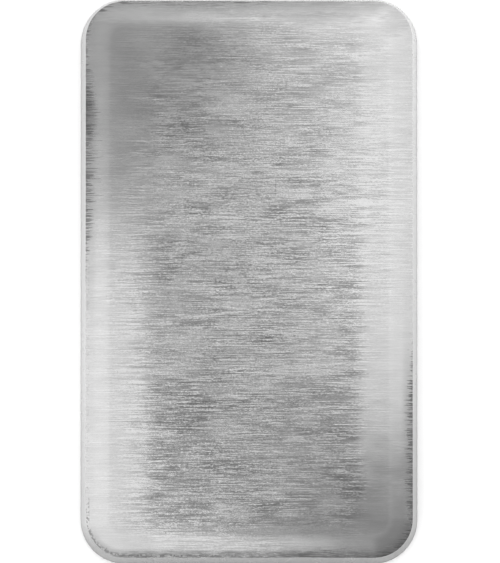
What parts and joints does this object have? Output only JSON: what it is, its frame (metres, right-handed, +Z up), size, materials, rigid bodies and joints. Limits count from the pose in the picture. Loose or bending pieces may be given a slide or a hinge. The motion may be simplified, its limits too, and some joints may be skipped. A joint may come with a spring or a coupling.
{
  "type": "metal ingot",
  "caption": "Flat rectangular silver ingot with rounded corners, leaning side walls and a finely brushed upper face, lying on its plain underside.",
  "frame": {"origin": "middle of the underside, on the surface that the bar lies on", "axes": "+X across the width, +Y along the length, +Z up, out of the brushed upper face"},
  "size_m": [0.062, 0.104, 0.0154],
  "materials": {
    "silver": "brushed"
  },
  "bodies": {
    "root": {"ingot": "silver"}
  },
  "joints": []
}
